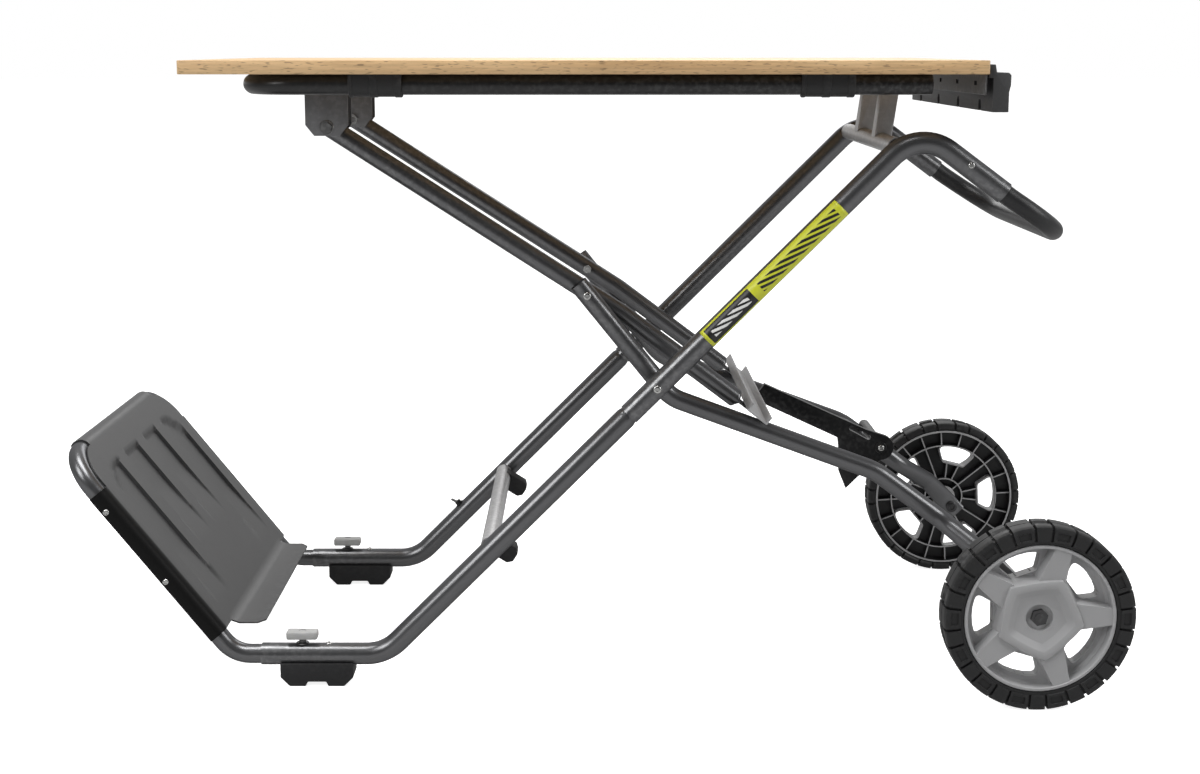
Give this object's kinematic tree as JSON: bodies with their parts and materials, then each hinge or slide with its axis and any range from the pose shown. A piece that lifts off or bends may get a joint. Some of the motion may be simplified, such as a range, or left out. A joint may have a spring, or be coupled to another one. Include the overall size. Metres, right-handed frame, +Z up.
{
  "type": "mobile workbench",
  "caption": "Folding tubular workbench on wheels with a beech top, sliding toe frame, latch and notched tool tray; it folds into a hand truck",
  "frame": {"origin": "on the floor, under the middle of the object's box", "axes": "+X along the top from the toe plate to the handle and wheels, +Y across it away from the viewer of the picture, +Z up"},
  "size_m": [1.3787, 0.596, 0.817],
  "materials": {
    "grey_paint": "satin powder coat, dark grey",
    "black_paint": "satin powder coat, black",
    "light_paint": "satin powder coat, light grey",
    "zinc": "bright zinc plate",
    "black_plastic": "fine moulded grain, black",
    "grey_plastic": "fine moulded grain, grey",
    "rubber": "matte black",
    "tyre": "matte black",
    "beech": "clear-coated beech board"
  },
  "bodies": {
    "frame": {"top_cross_tube": "light_paint", "lower_cross_tube": "light_paint", "handle_bar": "rubber", "near_lower_side_tube": "grey_paint", "near_upper_side_tube": "grey_paint", "near_rest_post": "light_paint", "near_foot": "rubber", "near_bumper": "rubber", "near_pivot_spacer": "black_plastic", "near_main_pivot_bolt": "zinc", "far_lower_side_tube": "grey_paint", "far_upper_side_tube": "grey_paint", "far_rest_post": "light_paint", "far_foot": "rubber", "far_bumper": "rubber", "far_pivot_spacer": "black_plastic", "far_main_pivot_bolt": "zinc"},
    "toe_frame": {"toe_frame_tube": "grey_paint", "toe_plate": "grey_paint"},
    "near_knob": {"near_clamp_knob": "grey_plastic"},
    "far_knob": {"far_clamp_knob": "grey_plastic"},
    "wheel_frame": {"latch_cross_tube": "grey_paint", "near_wheel_tube": "grey_paint", "near_link_bolt": "zinc", "near_link_nut": "zinc", "near_axle_bolt": "zinc", "near_axle_spacer": "zinc", "near_axle_nut": "zinc", "far_wheel_tube": "grey_paint", "far_link_bolt": "zinc", "far_link_nut": "zinc", "far_axle_bolt": "zinc", "far_axle_spacer": "zinc", "far_axle_nut": "zinc"},
    "latch": {"latch_lever": "black_paint"},
    "near_wheel": {"near_wheel_rim": "grey_plastic", "near_tyre": "tyre"},
    "far_wheel": {"far_wheel_rim": "grey_plastic", "far_tyre": "tyre"},
    "link_frame": {"cross_channel": "light_paint", "near_link_tube": "grey_paint", "far_link_tube": "grey_paint"},
    "table": {"worktop": "beech", "table_rail": "black_paint", "tray_plate": "grey_paint", "tool_tray": "black_plastic", "near_table_bracket": "light_paint", "near_table_bolt": "zinc", "near_table_nut": "zinc", "near_left_rail_clip": "black_plastic", "near_right_rail_clip": "black_plastic", "far_table_bracket": "light_paint", "far_table_bolt": "zinc", "far_table_nut": "zinc", "far_left_rail_clip": "black_plastic", "far_right_rail_clip": "black_plastic"}
  },
  "joints": [
    {"name": "fold", "type": "hinge", "parent": "frame", "child": "wheel_frame", "pos_m": [0.08823, 0, 0.39913], "axis": [0, 1, 0], "range_deg": [0, 102]},
    {"name": "link_fold", "type": "hinge", "parent": "wheel_frame", "child": "link_frame", "pos_m": [-0.00177, 0, 0.511], "axis": [0, 1, 0], "range_deg": [-173.4, 0]},
    {"name": "table_tilt", "type": "hinge", "parent": "link_frame", "child": "table", "pos_m": [-0.34077, 0, 0.7295], "axis": [0, 1, 0], "range_deg": [0, 26.16]},
    {"name": "latch_release", "type": "hinge", "parent": "wheel_frame", "child": "latch", "pos_m": [0.41663, 0, 0.269], "axis": [0, -1, 0], "range_deg": [0, 20]},
    {"name": "toe_slide", "type": "slide", "parent": "frame", "child": "toe_frame", "axis": [-1, 0, 0], "range_m": [0, 0.09]},
    {"name": "near_wheel_spin", "type": "hinge", "parent": "wheel_frame", "child": "near_wheel", "pos_m": [0.56923, -0.2775, 0.121], "axis": [0, 1, 0], "continuous": true},
    {"name": "near_knob_turn", "type": "hinge", "parent": "frame", "child": "near_knob", "pos_m": [-0.37817, -0.2016, 0.0607], "axis": [0, 0, 1], "range_deg": [-180, 180]},
    {"name": "far_wheel_spin", "type": "hinge", "parent": "wheel_frame", "child": "far_wheel", "pos_m": [0.56923, 0.2775, 0.121], "axis": [0, 1, 0], "continuous": true},
    {"name": "far_knob_turn", "type": "hinge", "parent": "frame", "child": "far_knob", "pos_m": [-0.37817, 0.2016, 0.0607], "axis": [0, 0, 1], "range_deg": [-180, 180]}
  ],
  "couplings": [
    {"joint": "link_fold", "follows": "fold", "ratio": -1.7},
    {"joint": "table_tilt", "follows": "fold", "ratio": 0.25637}
  ]
}
